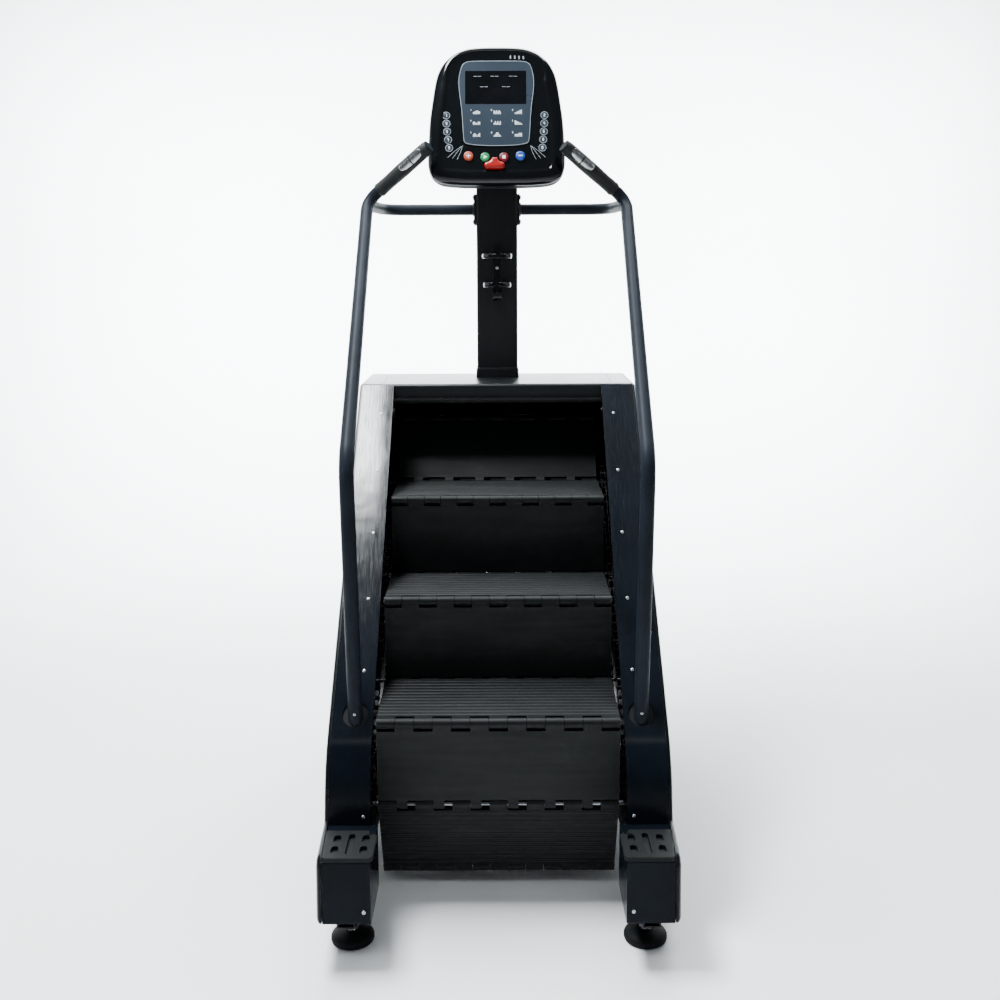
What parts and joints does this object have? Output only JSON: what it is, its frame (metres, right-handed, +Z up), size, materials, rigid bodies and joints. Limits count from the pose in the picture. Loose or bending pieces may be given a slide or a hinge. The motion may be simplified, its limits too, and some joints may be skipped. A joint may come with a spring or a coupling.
{
  "type": "stair climber",
  "caption": "Gym stair climber: hinged black steps on side chains, bulged covers, handrails with grips, column, console with keys and a stop button.",
  "frame": {"origin": "centre of the footprint, on the floor under the levelling feet", "axes": "+Z up, -Y towards the user, +X to the user's right"},
  "size_m": [0.791, 1.296, 2.1045],
  "materials": {
    "powder_coat": "satin black powder coat",
    "painted_steel": "gloss black paint with a blue tint",
    "moulded_cover": "semi-gloss black moulding",
    "step_aluminium": "black anodised, matte",
    "bright_steel": "plated steel rod",
    "chain_steel": "oiled steel",
    "rubber": "matte black",
    "grip_rubber": "soft-touch black",
    "console_plastic": "gloss black",
    "display_overlay": "blue-grey printed overlay",
    "key_orange": "orange",
    "key_green": "green",
    "key_red": "dark red",
    "key_blue": "blue",
    "stop_red": "glossy red"
  },
  "bodies": {
    "frame": {"main_frame": "powder_coat", "side_plate_left": "powder_coat", "side_plate_right": "powder_coat", "side_cover_left": "moulded_cover", "side_cover_right": "moulded_cover", "front_fascia_left": "painted_steel", "front_fascia_right": "painted_steel", "top_cover": "moulded_cover", "rear_cover": "moulded_cover", "entry_pad_left": "rubber", "entry_pad_right": "rubber", "console_column": "powder_coat", "handrail_left": "powder_coat", "handrail_right": "powder_coat", "grip_left": "grip_rubber", "grip_right": "grip_rubber", "bottle_cage": "console_plastic", "console_housing": "console_plastic", "console_bezel": "console_plastic", "display_panel": "display_overlay"},
    "front_run": {"chain_front_left": "chain_steel", "chain_front_right": "chain_steel", "corner_axle_1": "bright_steel", "corner_axle_2": "bright_steel", "corner_axle_3": "bright_steel", "tread_2": "step_aluminium", "riser_2": "step_aluminium", "tread_3": "step_aluminium", "riser_3": "step_aluminium"},
    "return_run": {"chain_return_left": "chain_steel", "chain_return_right": "chain_steel", "corner_axle_5": "bright_steel", "corner_axle_6": "bright_steel", "corner_axle_7": "bright_steel", "tread_6": "step_aluminium", "riser_6": "step_aluminium", "tread_7": "step_aluminium", "riser_7": "step_aluminium"},
    "lower_shaft": {"lower_shaft": "chain_steel", "corner_axle_0": "bright_steel"},
    "upper_shaft": {"upper_shaft": "chain_steel", "corner_axle_4": "bright_steel"},
    "brake_rotor": {"brake_rotor": "chain_steel"},
    "tread_0": {"tread_0": "step_aluminium"},
    "riser_1": {"riser_1": "step_aluminium"},
    "tread_1": {"tread_1": "step_aluminium"},
    "riser_0": {"riser_0": "step_aluminium"},
    "tread_4": {"tread_4": "step_aluminium"},
    "riser_5": {"riser_5": "step_aluminium"},
    "riser_4": {"riser_4": "step_aluminium"},
    "tread_5": {"tread_5": "step_aluminium"},
    "levelling_foot_front_left": {"levelling_foot_front_left": "rubber"},
    "levelling_foot_front_right": {"levelling_foot_front_right": "rubber"},
    "levelling_foot_rear_left": {"levelling_foot_rear_left": "rubber"},
    "levelling_foot_rear_right": {"levelling_foot_rear_right": "rubber"},
    "key_orange": {"key_orange": "key_orange"},
    "key_green": {"key_green": "key_green"},
    "key_red": {"key_red": "key_red"},
    "key_blue": {"key_blue": "key_blue"},
    "emergency_stop": {"emergency_stop": "stop_red"}
  },
  "joints": [
    {"name": "stair_travel", "type": "slide", "parent": "frame", "child": "front_run", "axis": [0, -0.7454, -0.6667], "range_m": [0, 0.06]},
    {"name": "return_travel", "type": "slide", "parent": "frame", "child": "return_run", "axis": [0, 0.7454, 0.6667], "range_m": [0, 0.06]},
    {"name": "lower_shaft_spin", "type": "hinge", "parent": "frame", "child": "lower_shaft", "pos_m": [0, -0.303, 0.246], "axis": [1, 0, 0], "range_deg": [0, 35.63]},
    {"name": "upper_shaft_spin", "type": "hinge", "parent": "frame", "child": "upper_shaft", "pos_m": [0, 0.37855, 0.8556], "axis": [1, 0, 0], "range_deg": [0, 35.63]},
    {"name": "brake_spin", "type": "hinge", "parent": "frame", "child": "brake_rotor", "pos_m": [0, 0.337, 0.33], "axis": [1, 0, 0], "range_deg": [0, 106.8]},
    {"name": "tread_0_hinge", "type": "hinge", "parent": "lower_shaft", "child": "tread_0", "pos_m": [0, -0.39906, 0.25966], "axis": [1, 0, 0], "range_deg": [-6.03, 0]},
    {"name": "riser_1_hinge", "type": "hinge", "parent": "lower_shaft", "child": "riser_1", "pos_m": [0, -0.39906, 0.25966], "axis": [1, 0, 0], "range_deg": [-21.68, 0]},
    {"name": "tread_1_hinge", "type": "hinge", "parent": "front_run", "child": "tread_1", "pos_m": [0, -0.19111, 0.47625], "axis": [1, 0, 0], "range_deg": [0, 7.37]},
    {"name": "riser_0_hinge", "type": "hinge", "parent": "return_run", "child": "riser_0", "pos_m": [0, -0.18771, 0.21895], "axis": [1, 0, 0], "range_deg": [0, 17.85]},
    {"name": "tread_4_hinge", "type": "hinge", "parent": "upper_shaft", "child": "tread_4", "pos_m": [0, 0.47461, 0.84194], "axis": [1, 0, 0], "range_deg": [-6.03, 0]},
    {"name": "riser_5_hinge", "type": "hinge", "parent": "upper_shaft", "child": "riser_5", "pos_m": [0, 0.47461, 0.84194], "axis": [1, 0, 0], "range_deg": [-21.68, 0]},
    {"name": "riser_4_hinge", "type": "hinge", "parent": "front_run", "child": "riser_4", "pos_m": [0, 0.26326, 0.88265], "axis": [1, 0, 0], "range_deg": [0, 17.85]},
    {"name": "tread_5_hinge", "type": "hinge", "parent": "return_run", "child": "tread_5", "pos_m": [0, 0.26666, 0.62535], "axis": [1, 0, 0], "range_deg": [0, 7.37]},
    {"name": "foot_turn_front_left", "type": "hinge", "parent": "frame", "child": "levelling_foot_front_left", "pos_m": [-0.3285, -0.518, 0.02], "axis": [0, 0, 1], "continuous": true},
    {"name": "foot_turn_front_right", "type": "hinge", "parent": "frame", "child": "levelling_foot_front_right", "pos_m": [0.3285, -0.518, 0.02], "axis": [0, 0, 1], "continuous": true},
    {"name": "foot_turn_rear_left", "type": "hinge", "parent": "frame", "child": "levelling_foot_rear_left", "pos_m": [-0.339, 0.547, 0.02], "axis": [0, 0, 1], "continuous": true},
    {"name": "foot_turn_rear_right", "type": "hinge", "parent": "frame", "child": "levelling_foot_rear_right", "pos_m": [0.339, 0.547, 0.02], "axis": [0, 0, 1], "continuous": true},
    {"name": "key_orange_press", "type": "slide", "parent": "frame", "child": "key_orange", "axis": [0, 0.9613, -0.2756], "range_m": [0, 0.0015], "stiffness_N_per_m": 600, "springref_m": -0.0008},
    {"name": "key_green_press", "type": "slide", "parent": "frame", "child": "key_green", "axis": [0, 0.9613, -0.2756], "range_m": [0, 0.0015], "stiffness_N_per_m": 600, "springref_m": -0.0008},
    {"name": "key_red_press", "type": "slide", "parent": "frame", "child": "key_red", "axis": [0, 0.9613, -0.2756], "range_m": [0, 0.0015], "stiffness_N_per_m": 600, "springref_m": -0.0008},
    {"name": "key_blue_press", "type": "slide", "parent": "frame", "child": "key_blue", "axis": [0, 0.9613, -0.2756], "range_m": [0, 0.0015], "stiffness_N_per_m": 600, "springref_m": -0.0008},
    {"name": "emergency_stop_press", "type": "slide", "parent": "frame", "child": "emergency_stop", "axis": [0, 0.9613, -0.2756], "range_m": [0, 0.003], "stiffness_N_per_m": 800, "springref_m": -0.001}
  ],
  "couplings": [
    {"joint": "return_travel", "follows": "stair_travel", "ratio": 1},
    {"joint": "lower_shaft_spin", "follows": "stair_travel", "rad_per_m": 10.307},
    {"joint": "upper_shaft_spin", "follows": "stair_travel", "rad_per_m": 10.307},
    {"joint": "brake_spin", "follows": "stair_travel", "rad_per_m": 30.921},
    {"joint": "tread_0_hinge", "follows": "stair_travel", "rad_per_m": -1.724},
    {"joint": "riser_1_hinge", "follows": "stair_travel", "rad_per_m": -6.278},
    {"joint": "tread_1_hinge", "follows": "stair_travel", "rad_per_m": 2.115},
    {"joint": "riser_0_hinge", "follows": "stair_travel", "rad_per_m": 5.162},
    {"joint": "tread_4_hinge", "follows": "stair_travel", "rad_per_m": -1.724},
    {"joint": "riser_5_hinge", "follows": "stair_travel", "rad_per_m": -6.278},
    {"joint": "riser_4_hinge", "follows": "stair_travel", "rad_per_m": 5.162},
    {"joint": "tread_5_hinge", "follows": "stair_travel", "rad_per_m": 2.115}
  ]
}
